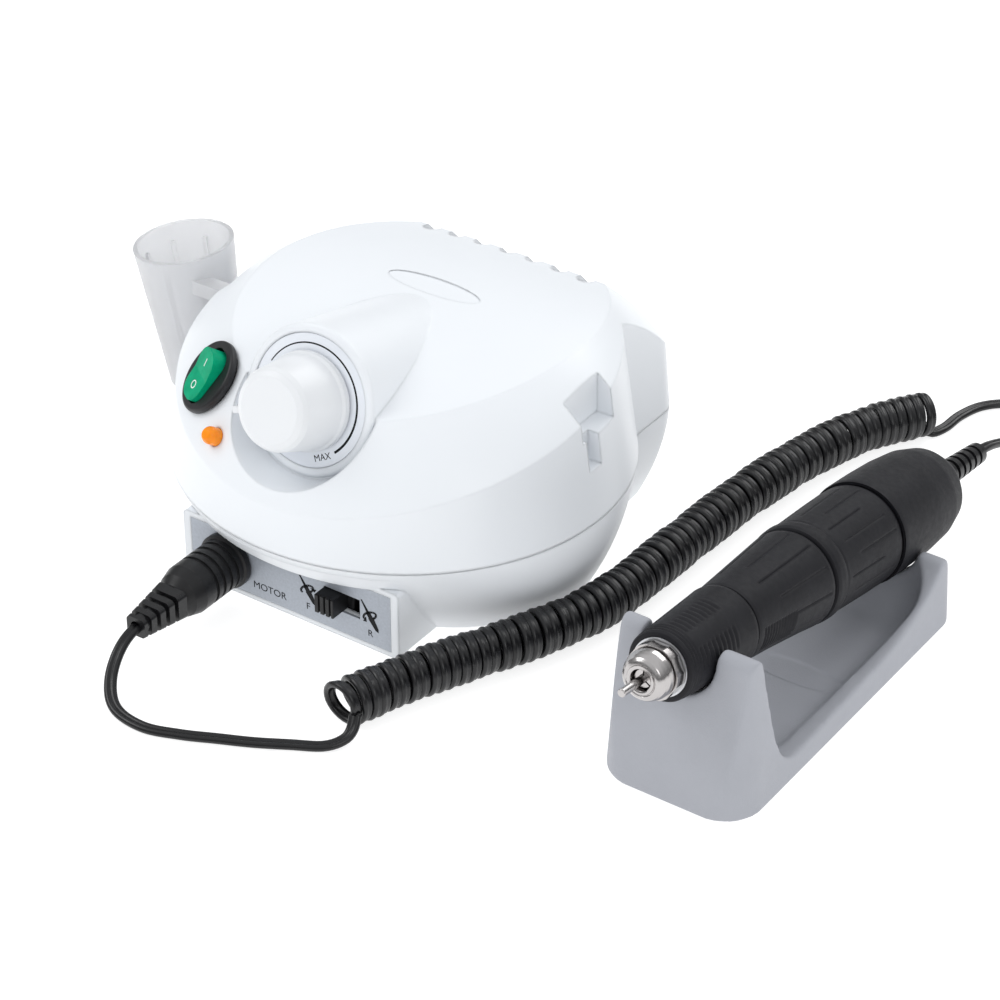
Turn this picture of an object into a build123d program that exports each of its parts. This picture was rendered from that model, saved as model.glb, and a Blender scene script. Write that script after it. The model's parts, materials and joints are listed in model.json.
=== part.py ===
from build123d import *
import os
from math import cos, radians, sin, sqrt

# Electric nail drill: a control unit with its speed knob and switches, a plug and coiled cord,
# a handpiece lying in its cradle, and a bit cup hooked on the side of the unit.
# Millimetres. X to the right seen from the front, Y to the back, Z up, table at Z = 0.
# Positions are measured from the middle of the control unit. When the pieces are written, the
# whole set is moved so that the origin is the middle of the set's footprint.

SET_MIDDLE_X = 26.1
SET_MIDDLE_Y = 24.4

# Control unit, outer form
WALL = 2.4
SEAM_Z = 31.6
SEAM_GAP = 0.2
SEAM_HALF_WIDTH = 69.0
SEAM_HALF_DEPTH = 66.6
DRAFT = 0.137
FORM_TOP_Z = 92.0
SHOULDER_RADII = (87.0, 81.8, 75.3)
SHOULDER_CENTRE = (0.0, 9.7, 13.9)
CROWN_TOP = (0.0, 9.0, 76.8)
CROWN_SIDEWAYS_RADIUS = 560.0
CROWN_LENGTHWAYS_RADIUS = 176.0
REAR_HALF_WIDTH = 53.5
REAR_BACK_Y = 66.5
REAR_CORNER = 9.0
REAR_FACET_Y = 53.5
REAR_FACET_Z = 71.4
REAR_FACET_SLOPE = 48.0
BASE_Z = 3.0
BASE_HALF_WIDTH = 61.7
BASE_HALF_DEPTH = 47.0
BASE_REAR_TAPER = 6.0
BELLY_Z = 18.0
BELLY_HALF_WIDTH = 67.4
BELLY_HALF_DEPTH = 58.0
BELLY_REAR_TAPER = 1.5
FLOOR_Z = 5.4
LIP_HEIGHT = 2.0
LIP_THICK = 1.1
CLEAR = 0.15

# Speed knob, the boss it stands on and the potentiometer
KNOB_CENTRE = (0.0, -43.25, 68.05)
KNOB_TILT = 17.5
BOSS_RADIUS = 21.6
BOSS_FLARE = 0.05
BOSS_DEPTH = 62.0
DISH_MOUTH_RADIUS = 24.6
DISH_HEIGHT = 28.0
DISH_FLOOR = 1.2
RING_RADIUS = 18.9
RING_THICK = 0.8
RING_HOLE_RADIUS = 6.5
KNOB_LIFT = 0.4
KNOB_SKIRT_RADIUS = 14.2
KNOB_BODY_RADIUS = 13.6
KNOB_TOP_RADIUS = 11.9
KNOB_HEIGHT = 18.2
POINTER_ANGLE = 18.0
SHAFT_RADIUS = 3.0
SHAFT_CLEAR = 0.05
POT_RADIUS = 8.5
POT_BUSH_RADIUS = 3.9

# Power switch and lamp on the left of the front shoulder
SWITCH_XY = (-35.2, -42.8)
SWITCH_AXIS = (-0.44, -0.62, 0.65)
BEZEL_RADIUS = 11.1
SWITCH_BODY_RADIUS = 9.8
SWITCH_DEPTH = 15.0
ROCKER_HALF_LENGTH = 7.9
ROCKER_HALF_WIDTH = 5.3
ROCKER_SEAT = 8.7
ROCKER_PIVOT_HEIGHT = 0.5
ROCKER_PIN_RADIUS = 0.8
ROCKER_REST_TILT = 9.0
ROCKER_CORNER = 4.4
ROCKER_RISE = 3.9
ROCKER_DIP = 3.2
LAMP_XY = (-23.6, -55.8)
LAMP_RADIUS = 2.6
LAMP_STEM = 2.0
LAMP_HEIGHT = 4.2

# Side hook pockets, badge recess, vents
HOOK_Y = (-4.5, 12.5)
HOOK_FLOOR_Z = 57.0
HOOK_WALL_X = 58.5
THROAT_Y = (-3.0, 2.8)
THROAT_FLOOR_Z = 47.5
THROAT_WALL_X = 62.0
BADGE_Y = 15.9
BADGE_HALF_LENGTH = 15.8
BADGE_HALF_WIDTH = 4.6
BADGE_DEPTH = 0.5
VENT_Y = 6.0
VENT_LENGTH = 16.0
VENT_COUNT = 7
VENT_PITCH = 9.2
VENT_WIDTH = 5.0

# Front panel, direction switch, motor socket
PANEL_Y = -55.0
FRAME_HALF_WIDTH = 38.2
FRAME_Z = (2.2, 24.2)
FRAME_BACK_Y = -33.0
LIP_Z = 22.8
PLATE_HALF_WIDTH = 35.5
PLATE_Z = (3.84, 22.4)
PLATE_THICK = 0.8
SOCKET_XZ = (-22.0, 13.2)
SOCKET_RADIUS = 7.6
SOCKET_BORE = 6.9
SOCKET_DEPTH = 9.5
SLIDE_X = (12.2, 24.8)
SLIDE_Z = (10.9, 17.4)

# Rear panel: mains inlet with its fuse drawer, foot pedal jack
REAR_PAD_X = (-34.0, 34.0)
INLET_HALF_WIDTH = 13.8
INLET_Z = (6.2, 28.8)
DRAWER_Z = (21.4, 27.8)
JACK_XZ = (24.0, 17.0)
JACK_BUSH_RADIUS = 4.5
JACK_BORE = 3.2

# Inside the control unit
POST_PLACES = ((-50.0, -18.0), (50.0, -18.0), (-38.0, 50.0), (38.0, 50.0))
POST_RADIUS = 4.0
POST_BASE_Z = 9.0
SCREW_RADIUS = 1.2
SCREW_HEAD_RADIUS = 2.9
FOOT_PLACES = ((-38.0, -24.0), (38.0, -24.0), (-24.0, 44.0), (24.0, 44.0))
FOOT_RADIUS = 6.0
BOARD_X = (-40.0, 40.0)
BOARD_Y = (-36.0, -6.0)
BOARD_Z = 26.0
BOARD_THICK = 1.6
BOARD_SCREW_INSET = 4.0
CORE_HALF_WIDTH = 24.0
CORE_Y = (6.0, 36.0)
CORE_MIDDLE_Y = 21.0
CORE_TOP_Z = 45.4
YOKE = 8.0
BRACKET_THICK = 1.2
BRACKET_SCREW_X = 29.8

# Plug and cord
PLUG_RADIUS = 7.7
PLUG_BODY_END = 25.0
PLUG_BOOT_END = 41.0
PIN_RADIUS = 0.65
PIN_CIRCLE = 4.0
CORD_RADIUS = 1.8
COIL_RADIUS = 7.0
COIL_BORE = 4.0
COIL_PATH = ((42.0, -85.0), (51.0, -60.0), (66.0, -28.0), (73.5, -4.0), (75.5, 30.0),
             (77.5, 65.0), (82.0, 95.0), (89.0, 118.0), (100.0, 137.0))

# Handpiece, measured along its own axis from the nose nut towards the tail
HAND_ORIGIN = (129.0, -68.3, 44.9)
HAND_SLOPE = 9.2
SHANK_RADIUS = 1.175
SHANK_TIP = -15.0
HOUSING_RADIUS = 8.2
BEARING_OUTER = 6.5
BEARING_WIDTH = 5.0
SPINDLE_RADIUS = 3.0
GRIP_END = 34.8
TWIST_START = 35.3
TWIST_END = 71.6
MOTOR_START = 72.4
MOTOR_END = 110.6
CAP_START = 111.8
CAP_END = 157.0
CAN_RADIUS = 11.6
BOOT_END = 184.0

# Cradle
CRADLE_X = (107.3, 154.0)
CRADLE_Y = (-63.6, 55.5)
CRADLE_LEAN = 3.2
CRADLE_CLEAR = 0.35
CRADLE_HEIGHT = 50.0
CRADLE_FRONT_CORNER = 12.0
CRADLE_REAR_CORNER = 7.0
BOWL_FLOOR_Z = 4.4
BOWL_SECTIONS = ((BOWL_FLOOR_Z, 22.0, 68.0, 9.0), (7.0, 35.0, 86.0, 13.0), (14.0, 40.5, 96.0, 15.0),
                 (26.0, 42.0, 100.0, 16.0))
OVAL_XY = (132.5, 1.0)
OVAL_RADII = (15.5, 5.0)
OVAL_DEPTH = 0.5

# Bit cup
CUP_MOUTH = (-86.6, 7.5, 67.6)
CUP_AXIS = (-0.124, -0.031, 0.992)
CUP_HEIGHT = 45.0
CUP_MOUTH_RADIUS = 15.3
CUP_FOOT_RADIUS = 11.6
CUP_WALL = 1.3
CUP_RIBS = 8
CUP_RIB_HEIGHT = 0.9


def shoulder_z(x, y):
    """Height of the casing's shoulder surface above a plan position."""
    cx, cy, cz = SHOULDER_CENTRE
    rx, ry, rz = SHOULDER_RADII
    return cz + rz * sqrt(1 - ((x - cx) / rx) ** 2 - ((y - cy) / ry) ** 2)


def shoulder_normal(x, y):
    """Outward direction of the shoulder surface above a plan position."""
    point = (x, y, shoulder_z(x, y))
    return tuple((p - c) / r**2 for p, c, r in zip(point, SHOULDER_CENTRE, SHOULDER_RADII))


def crown_z(y):
    """Height of the top surface on the middle plane."""
    radius = CROWN_LENGTHWAYS_RADIUS
    return CROWN_TOP[2] - radius + sqrt(radius**2 - (y - CROWN_TOP[1]) ** 2)


def level_plane(origin, normal):
    """Plane whose own X direction stays level."""
    return Plane(origin=origin, x_dir=Vector(0, 0, 1).cross(Vector(*normal)), z_dir=normal)


KNOB_PLANE = Plane(
    origin=KNOB_CENTRE, x_dir=(1, 0, 0), z_dir=(0, -cos(radians(KNOB_TILT)), sin(radians(KNOB_TILT)))
)
SWITCH_PLANE = level_plane((*SWITCH_XY, shoulder_z(*SWITCH_XY) - 0.2), SWITCH_AXIS)
LAMP_PLANE = level_plane((*LAMP_XY, shoulder_z(*LAMP_XY)), shoulder_normal(*LAMP_XY))
BADGE_PLANE = Plane(
    origin=(0, BADGE_Y, crown_z(BADGE_Y)),
    x_dir=(1, 0, 0),
    z_dir=(0, BADGE_Y - CROWN_TOP[1], CROWN_LENGTHWAYS_RADIUS),
)
FACET_PLANE = Plane(
    origin=(0, REAR_FACET_Y, REAR_FACET_Z),
    x_dir=(1, 0, 0),
    z_dir=(0, sin(radians(REAR_FACET_SLOPE)), cos(radians(REAR_FACET_SLOPE))),
)
SOCKET_PLANE = Plane(origin=(SOCKET_XZ[0], PANEL_Y, SOCKET_XZ[1]), x_dir=(1, 0, 0), z_dir=(0, -1, 0))
JACK_PLANE = Plane(origin=(JACK_XZ[0], REAR_BACK_Y, JACK_XZ[1]), x_dir=(1, 0, 0), z_dir=(0, 1, 0))
HAND_PLANE = Plane(
    origin=HAND_ORIGIN, x_dir=(1, 0, 0), z_dir=(0, cos(radians(HAND_SLOPE)), -sin(radians(HAND_SLOPE)))
)
CUP_PLANE = level_plane(CUP_MOUTH, CUP_AXIS)


# ---------------------------------------------------------------- shared shapes

def box(x, y, z):
    """A box from its low and high bounds along each axis."""
    centre = Pos((x[0] + x[1]) / 2, (y[0] + y[1]) / 2, (z[0] + z[1]) / 2)
    return centre * Box(x[1] - x[0], y[1] - y[0], z[1] - z[0])


def rod(radius, low, high):
    """A cylinder on the local Z axis between two heights."""
    return Pos(0, 0, (low + high) / 2) * Cylinder(radius, high - low)


def tube(outer, inner, low, high):
    """A hollow cylinder on the local Z axis between two heights."""
    return rod(outer, low, high) - rod(inner, low - 1, high + 1)


def turned(points):
    """A solid of revolution about the local Z axis from (radius, height) points."""
    return revolve(make_face(Plane.XZ * Polyline(*points, close=True)), Axis.Z)


def together(solids):
    """Separate solids that belong to one node."""
    return Compound([shape.solid() for shape in solids])


def cable(points, radius):
    """A round cable: straight from the first point to the second, then a smooth curve."""
    straight = Line(points[0], points[1])
    leaving = Vector(*points[-1]) - Vector(*points[-2])
    curve = Spline(*points[1:], tangents=(straight % 1, leaving.normalized()))
    start = Plane(origin=straight @ 0, z_dir=straight % 0)
    return sweep(start * Circle(radius), path=Wire([straight, curve]))


# ---------------------------------------------------------------- casing

def rear_section(half_width, back_y, z):
    depth = back_y + 20.0
    return Pos(0, back_y - depth / 2, z) * RectangleRounded(2 * half_width, depth, REAR_CORNER)


def upper_form(inset):
    """The upper casing as a solid, every face moved inwards by inset."""
    shrink = DRAFT * (FORM_TOP_Z - SEAM_Z)
    wide, deep = SEAM_HALF_WIDTH - inset, SEAM_HALF_DEPTH - inset
    form = loft([
        Pos(0, 0, SEAM_Z) * Ellipse(wide, deep),
        Pos(0, 0, FORM_TOP_Z) * Ellipse(wide - shrink, deep - shrink),
    ])
    form += loft([
        rear_section(REAR_HALF_WIDTH - inset, REAR_BACK_Y - inset, SEAM_Z),
        rear_section(REAR_HALF_WIDTH - BASE_REAR_TAPER - inset, REAR_BACK_Y - inset, FORM_TOP_Z),
    ])
    shoulder = scale(Sphere(1), by=tuple(r - inset for r in SHOULDER_RADII))
    form &= Pos(*SHOULDER_CENTRE) * shoulder
    crown = Rot(90, 0, 0) * Torus(
        CROWN_SIDEWAYS_RADIUS - CROWN_LENGTHWAYS_RADIUS, CROWN_LENGTHWAYS_RADIUS - inset
    )
    form &= Pos(0, CROWN_TOP[1], CROWN_TOP[2] - CROWN_SIDEWAYS_RADIUS) * crown
    form -= FACET_PLANE * box((-90, 90), (-20, 90), (-inset, 60))
    dish = Pos(0, 0, DISH_HEIGHT / 2 - DISH_FLOOR - inset) * Cone(
        BOSS_RADIUS + 0.9 + inset, DISH_MOUTH_RADIUS + inset, DISH_HEIGHT
    )
    form -= KNOB_PLANE * dish
    boss = Pos(0, 0, -(BOSS_DEPTH + inset) / 2) * Cone(
        BOSS_RADIUS + BOSS_FLARE * BOSS_DEPTH - inset, BOSS_RADIUS - inset, BOSS_DEPTH - inset
    )
    if inset == 0:
        boss = fillet(boss.edges().group_by(Axis.Z)[-1], 1.1)
    form += KNOB_PLANE * boss
    return form & box((-90, 90), (-90, REAR_BACK_Y - inset), (SEAM_Z, 120))


def plan_outline(half_width, half_depth, taper, inset, z):
    """Plan of the lower casing at one height: an ellipse joined to the squarer rear."""
    outline = Ellipse(half_width - inset, half_depth - inset)
    outline += rear_section(REAR_HALF_WIDTH - taper - inset, REAR_BACK_Y - taper - inset, 0)
    depth = REAR_BACK_Y - taper - inset + 90
    outline &= Pos(0, REAR_BACK_Y - taper - inset - depth / 2) * Rectangle(200, depth)
    return Pos(0, 0, z) * outline


def seam_outline(inset):
    return plan_outline(SEAM_HALF_WIDTH, SEAM_HALF_DEPTH, 0, inset, SEAM_Z)


def lower_form(inset):
    """The lower casing as a solid, every side moved inwards by inset."""
    levels = (
        (BASE_Z, BASE_HALF_WIDTH, BASE_HALF_DEPTH, BASE_REAR_TAPER),
        (BELLY_Z, BELLY_HALF_WIDTH, BELLY_HALF_DEPTH, BELLY_REAR_TAPER),
        (SEAM_Z, SEAM_HALF_WIDTH, SEAM_HALF_DEPTH, 0.0),
    )
    form = loft([Pos(0, 0, z) * Ellipse(wide - inset, deep - inset) for z, wide, deep, taper in levels])
    form += loft([
        rear_section(REAR_HALF_WIDTH - taper - inset, REAR_BACK_Y - taper - inset, z)
        for z, wide, deep, taper in levels
    ])
    return form & box((-90, 90), (-90, REAR_BACK_Y - inset), (BASE_Z, SEAM_Z))


def hook_pocket(x_grow, y_grow, floor_drop):
    """Stepped pocket in the right flank; an accessory hook drops into it from above."""
    mouth = box((HOOK_WALL_X - x_grow, 90), (HOOK_Y[0] - y_grow, HOOK_Y[1] + y_grow),
                (HOOK_FLOOR_Z - floor_drop, 90))
    throat = box((THROAT_WALL_X - x_grow, 90), (THROAT_Y[0] - y_grow, THROAT_Y[1] + y_grow),
                 (THROAT_FLOOR_Z - floor_drop, 90))
    return mouth + throat


def screw_posts():
    """Posts under the roof of the upper casing that take the case screws."""
    solid = upper_form(WALL / 2) + box((-60, 60), (-60, 60), (0, SEAM_Z + 1))
    posts = [Pos(x, y, 0) * rod(POST_RADIUS, POST_BASE_Z, FORM_TOP_Z) for x, y in POST_PLACES]
    return [post & solid for post in posts]


def upper_shell():
    outer = upper_form(0)
    shell = outer - upper_form(WALL)
    rebate = extrude(seam_outline(LIP_THICK), LIP_HEIGHT + CLEAR)
    shell -= rebate - extrude(seam_outline(WALL + 0.3), LIP_HEIGHT + CLEAR)
    lining = hook_pocket(WALL, WALL, WALL) & outer
    shell += lining + mirror(lining, Plane.YZ)
    pocket = hook_pocket(0, 0, 0)
    shell -= pocket + mirror(pocket, Plane.YZ)
    for post in screw_posts():
        shell += post
    for x, y in POST_PLACES:
        shell -= Pos(x, y, 0) * rod(SCREW_RADIUS, POST_BASE_Z - 1, POST_BASE_Z + 14)
    shell -= KNOB_PLANE * rod(RING_RADIUS + CLEAR, -RING_THICK - 0.2, 10)
    shell -= KNOB_PLANE * rod(POT_BUSH_RADIUS + CLEAR, -12, 10)
    shell -= SWITCH_PLANE * rod(SWITCH_BODY_RADIUS + CLEAR, -12, 14)
    shell -= SWITCH_PLANE * rod(BEZEL_RADIUS + CLEAR, 0, 14)
    shell -= LAMP_PLANE * rod(LAMP_RADIUS + CLEAR, -12, 14)
    badge = extrude(Ellipse(BADGE_HALF_LENGTH, BADGE_HALF_WIDTH), 6)
    shell -= BADGE_PLANE * Pos(0, 0, -BADGE_DEPTH) * badge
    vent = extrude(Rot(0, 0, 90) * SlotOverall(VENT_LENGTH, VENT_WIDTH), 12)
    for i in range(VENT_COUNT):
        x = (i - (VENT_COUNT - 1) / 2) * VENT_PITCH
        shell -= FACET_PLANE * Pos(x, VENT_Y, -5) * vent
    return shell


def board_screw_places():
    """Plan positions of the four screws that hold the circuit board."""
    near_x, far_x = BOARD_X[0] + BOARD_SCREW_INSET, BOARD_X[1] - BOARD_SCREW_INSET
    near_y, far_y = BOARD_Y[0] + BOARD_SCREW_INSET, BOARD_Y[1] - BOARD_SCREW_INSET
    return [(x, y) for x in (near_x, far_x) for y in (near_y, far_y)]


def lower_shell():
    inside = lower_form(WALL) & box((-90, 90), (-90, 90), (FLOOR_Z, 90))
    shell = lower_form(0) - inside
    frame = box((-FRAME_HALF_WIDTH, FRAME_HALF_WIDTH), (PANEL_Y, FRAME_BACK_Y), FRAME_Z)
    frame = fillet(frame.edges().filter_by(Axis.Y), 1.6)
    shell += frame
    rear_pad = box(REAR_PAD_X, (REAR_BACK_Y - 9, REAR_BACK_Y), (BASE_Z + 1, SEAM_Z))
    shell += rear_pad
    shell -= box((-FRAME_HALF_WIDTH, FRAME_HALF_WIDTH), (-90, PANEL_Y), (0, LIP_Z))
    room_half_width = FRAME_HALF_WIDTH - WALL
    shell -= box((-room_half_width, room_half_width), (PANEL_Y + WALL, FRAME_BACK_Y + 1),
                 (FLOOR_Z, FRAME_Z[1] - 1.6))
    shell -= inside & box((-90, 90), (FRAME_BACK_Y - 8, REAR_BACK_Y - 9), (FLOOR_Z, 90))
    shell -= box((REAR_PAD_X[0] + WALL, REAR_PAD_X[1] - WALL), (REAR_BACK_Y - 14, REAR_BACK_Y - WALL),
                 (FLOOR_Z, SEAM_Z + 1))
    shell &= box((-90, 90), (-90, 90), (0, SEAM_Z - SEAM_GAP))
    lip_outline = seam_outline(LIP_THICK + CLEAR) - seam_outline(WALL + 0.4)
    shell += extrude(Pos(0, 0, -3) * lip_outline, LIP_HEIGHT + 3)
    shell -= box((-PLATE_HALF_WIDTH, PLATE_HALF_WIDTH), (PANEL_Y - 5, PANEL_Y + PLATE_THICK), PLATE_Z)
    shell -= SOCKET_PLANE * rod(SOCKET_RADIUS + CLEAR, -6, 6)
    shell -= box(SLIDE_X, (PANEL_Y - 2, PANEL_Y + 6), SLIDE_Z)
    shell -= box((-INLET_HALF_WIDTH - CLEAR, INLET_HALF_WIDTH + CLEAR), (REAR_BACK_Y - 12, REAR_BACK_Y + 5),
                 (INLET_Z[0] - CLEAR, INLET_Z[1] + CLEAR))
    shell -= JACK_PLANE * rod(JACK_BUSH_RADIUS + CLEAR, -12, 6)
    for x, y in POST_PLACES:
        shell += Pos(x, y, 0) * rod(POST_RADIUS + 1.2, BASE_Z, POST_BASE_Z - CLEAR)
        shell -= Pos(x, y, 0) * rod(SCREW_RADIUS + 0.3, 0, 20)
        shell -= Pos(x, y, 0) * rod(SCREW_HEAD_RADIUS + 0.3, 0, BASE_Z + 3.2)
    for side in (-1, 1):
        shell -= Pos(side * BRACKET_SCREW_X, CORE_MIDDLE_Y, 0) * rod(SCREW_RADIUS, BASE_Z + 0.8, 20)
    for x, y in board_screw_places():
        shell += Pos(x, y, 0) * tube(3.2, SCREW_RADIUS, FLOOR_Z - 1, BOARD_Z)
    return shell


def front_panel():
    plate = box((-PLATE_HALF_WIDTH + 0.05, PLATE_HALF_WIDTH - 0.05), (PANEL_Y, PANEL_Y + PLATE_THICK),
                (PLATE_Z[0] + 0.05, PLATE_Z[1] - 0.05))
    plate -= SOCKET_PLANE * rod(SOCKET_RADIUS + CLEAR, -6, 6)
    return plate - box(SLIDE_X, (PANEL_Y - 2, PANEL_Y + 6), SLIDE_Z)


def feet():
    return together([Pos(x, y, 0) * rod(FOOT_RADIUS, 0, BASE_Z) for x, y in FOOT_PLACES])


def case_screws():
    screws = []
    for x, y in POST_PLACES:
        screw = rod(SCREW_HEAD_RADIUS, BASE_Z + 0.8, BASE_Z + 3.2) + rod(SCREW_RADIUS, BASE_Z + 3, 20)
        screw -= box((-0.5, 0.5), (-2, 2), (BASE_Z, BASE_Z + 1.8))
        screws.append(Pos(x, y, 0) * screw)
    return together(screws)


# ---------------------------------------------------------------- speed knob

def shaft_section(grow):
    """D-shaped section of the potentiometer shaft."""
    return Circle(SHAFT_RADIUS + grow) & Pos(0, 1.5) * Rectangle(20, 6 + 2 * grow)


def scale_ring():
    return KNOB_PLANE * tube(RING_RADIUS, RING_HOLE_RADIUS, -RING_THICK - 0.2, -0.2)


def speed_knob():
    low, top = KNOB_LIFT, KNOB_HEIGHT
    knob = turned([
        (0, low + 4), (9.5, low + 4), (9.5, low), (KNOB_SKIRT_RADIUS, low),
        (KNOB_SKIRT_RADIUS, low + 1.8), (KNOB_BODY_RADIUS, low + 2.8), (KNOB_TOP_RADIUS, top - 2.2),
        (KNOB_TOP_RADIUS - 0.8, top - 0.8), (KNOB_TOP_RADIUS - 2.4, top), (0, top),
    ])
    pointer = box((-KNOB_BODY_RADIUS - 0.9, -KNOB_TOP_RADIUS + 2), (-1.0, 1.0), (top - 7.6, top - 2.4))
    knob += Rot(0, 0, POINTER_ANGLE) * fillet(pointer.edges().filter_by(Axis.Z), 0.5)
    knob -= Pos(0, 0, low) * extrude(shaft_section(0.02), 15)
    return KNOB_PLANE * knob


def potentiometer():
    body = rod(POT_RADIUS, -12, -WALL - 0.1) + rod(POT_BUSH_RADIUS, -WALL - 1, 1.6)
    lug = box((-4.5, 4.5), (POT_RADIUS - 2, POT_RADIUS + 5), (-11.5, -10))
    body += lug
    return KNOB_PLANE * (body - rod(SHAFT_RADIUS + SHAFT_CLEAR, -10.5, 3))


def potentiometer_nut():
    nut = extrude(RegularPolygon(5.9, 6), 1.9) - rod(POT_BUSH_RADIUS, -3, 4)
    return KNOB_PLANE * Pos(0, 0, -RING_THICK - 0.2) * nut


def potentiometer_shaft():
    shaft = rod(SHAFT_RADIUS, -10.3, 2.2) + extrude(shaft_section(0), KNOB_LIFT + 14.5)
    return KNOB_PLANE * shaft


# ---------------------------------------------------------------- power switch and lamp

def switch_housing():
    housing = rod(SWITCH_BODY_RADIUS, -SWITCH_DEPTH, 0.4)
    bezel = fillet(rod(BEZEL_RADIUS, 0.05, 1.9).edges().group_by(Axis.Z)[-1], 0.9)
    housing += bezel
    half_wide, half_long = ROCKER_HALF_WIDTH + 0.2, ROCKER_SEAT
    opening = box((-half_wide, half_wide), (-half_long, half_long), (-10, 5))
    housing -= fillet(opening.edges().filter_by(Axis.Z), ROCKER_CORNER)
    pivot = Rot(0, 90, 0) * rod(ROCKER_PIN_RADIUS + SHAFT_CLEAR, -6.5, 6.5)
    return SWITCH_PLANE * (housing - Pos(0, 0, ROCKER_PIVOT_HEIGHT) * pivot)


def power_rocker():
    long, rise, dip = ROCKER_HALF_LENGTH, ROCKER_RISE, ROCKER_DIP
    drum = Rot(0, 90, 0) * rod(long, -ROCKER_HALF_WIDTH, ROCKER_HALF_WIDTH)
    drum &= box((-20, 20), (-20, 20), (-7.5, 0))
    outline = Polyline((-long, 0), (-long, rise), (0, dip), (long, rise), (long, 0), close=True)
    cap = extrude(Plane.YZ * make_face(outline), ROCKER_HALF_WIDTH, both=True)
    oval = box((-ROCKER_HALF_WIDTH, ROCKER_HALF_WIDTH), (-long, long), (-10, 10))
    rocker = (drum + cap) & fillet(oval.edges().filter_by(Axis.Z), ROCKER_CORNER)
    rocker += Rot(0, 90, 0) * rod(ROCKER_PIN_RADIUS, -6.4, 6.4)
    return SWITCH_PLANE * Pos(0, 0, ROCKER_PIVOT_HEIGHT) * Rot(ROCKER_REST_TILT, 0, 0) * rocker


def lamp_lens():
    lens = rod(LAMP_RADIUS, -4, LAMP_STEM) + Pos(0, 0, LAMP_STEM) * Sphere(LAMP_RADIUS)
    return LAMP_PLANE * (lens & rod(10, -4, LAMP_HEIGHT))


# ---------------------------------------------------------------- front panel switch and socket

def direction_switch():
    body = box((8.0, 29.0), (PANEL_Y + WALL + 0.05, PANEL_Y + 13), (7.5, 20.5))
    return body - box((9.4, 27.2), (PANEL_Y, PANEL_Y + 4.4), (9.2, 19.1))


def direction_slider():
    grip = box((12.4, 18.8), (PANEL_Y - 4.6, PANEL_Y + 2.7), (11.2, 17.1))
    for i in range(3):
        x = 13.6 + 1.9 * i
        grip -= box((x, x + 0.7), (PANEL_Y - 5, PANEL_Y - 3.9), (10, 18))
    return grip + box((10.0, 20.8), (PANEL_Y + 2.65, PANEL_Y + 4.2), (9.5, 18.8))


def socket_pin_places():
    """Five pins on three quarters of a circle."""
    return [Rot(0, 0, 90 + step * 45) * Pos(PIN_CIRCLE, 0) for step in range(-2, 3)]


def motor_socket():
    body = rod(SOCKET_RADIUS, -15, 0.2)
    flange_low = FLOOR_Z + 0.1 - SOCKET_XZ[1]
    body += rod(SOCKET_RADIUS + 1.8, -6, -WALL - 0.1) & box((-12, 12), (flange_low, 12), (-8, 0))
    body -= rod(SOCKET_BORE, -SOCKET_DEPTH, 2)
    for place in socket_pin_places():
        body -= place * rod(PIN_RADIUS + 0.1, -14, 0)
    return SOCKET_PLANE * body


def plug_shell():
    return SOCKET_PLANE * tube(6.6, 6.0, -8.4, 3.0)


def plug_pins():
    return together([SOCKET_PLANE * place * rod(PIN_RADIUS, -9.2, 6.0) for place in socket_pin_places()])


def plug_body():
    body = turned([
        (0, 0.6), (PLUG_RADIUS + 0.8, 0.6), (PLUG_RADIUS + 0.8, 2.4), (PLUG_RADIUS, 2.8),
        (PLUG_RADIUS, 19), (PLUG_RADIUS - 1.0, 22.6), (PLUG_RADIUS - 3.0, PLUG_BODY_END),
        (0, PLUG_BODY_END),
    ])
    for i in range(4):
        body -= tube(PLUG_RADIUS + 2, PLUG_RADIUS - 0.6, 4.6 + 3.0 * i, 5.8 + 3.0 * i)
    body += rod(5.98, -2.0, 1.0)
    body -= tube(6.6, 5.98, -9, 3.0)
    for place in socket_pin_places():
        body -= place * rod(PIN_RADIUS, -5, 6)
    return SOCKET_PLANE * (body - rod(CORD_RADIUS + 0.05, 20, 30))


def plug_boot():
    low, high = PLUG_BODY_END, PLUG_BOOT_END
    boot = loft([
        Pos(0, 0, low) * RectangleRounded(10.4, 9.0, 1.6),
        Pos(0, 0, high) * RectangleRounded(6.6, 6.0, 1.4),
    ])
    for i in range(4):
        z = low + 3.2 + 3.4 * i
        boot -= box((-9, 9), (-9, 9), (z, z + 1.4)) - rod(3.1, z - 1, z + 3)
    return SOCKET_PLANE * (boot - rod(CORD_RADIUS + 0.05, low - 1, high + 1))


def plug_lead():
    x, z = SOCKET_XZ
    y = PANEL_Y - PLUG_BODY_END
    rest = CORD_RADIUS + 0.1
    return cable([
        (x, y + 3.5, z), (x, y - 16.5, z), (x + 0.8, y - 24, z - 2.4), (x + 3.4, y - 31.5, 6.2),
        (-12.5, -114.6, 3.2), (-2.0, -118.2, rest), (10.6, -117.3, rest), (24.0, -110.5, rest),
        (36.0, -104.0, rest), (47.5, -95.8, 2.4),
    ], CORD_RADIUS)


def cord_coil():
    """Closed sleeve in the place of the wound cord."""
    height = COIL_RADIUS + 0.1
    path = Spline(*[(x, y, height) for x, y in COIL_PATH])
    start = Plane(origin=path @ 0, z_dir=path % 0)
    return sweep(start * Circle(COIL_RADIUS), path=path) - sweep(start * Circle(COIL_BORE), path=path)


# ---------------------------------------------------------------- inside the control unit

def circuit_board():
    board = box(BOARD_X, BOARD_Y, (BOARD_Z, BOARD_Z + BOARD_THICK))
    for x, y in board_screw_places():
        board -= Pos(x, y, 0) * rod(SCREW_RADIUS + 0.1, 20, 40)
    return board


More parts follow.
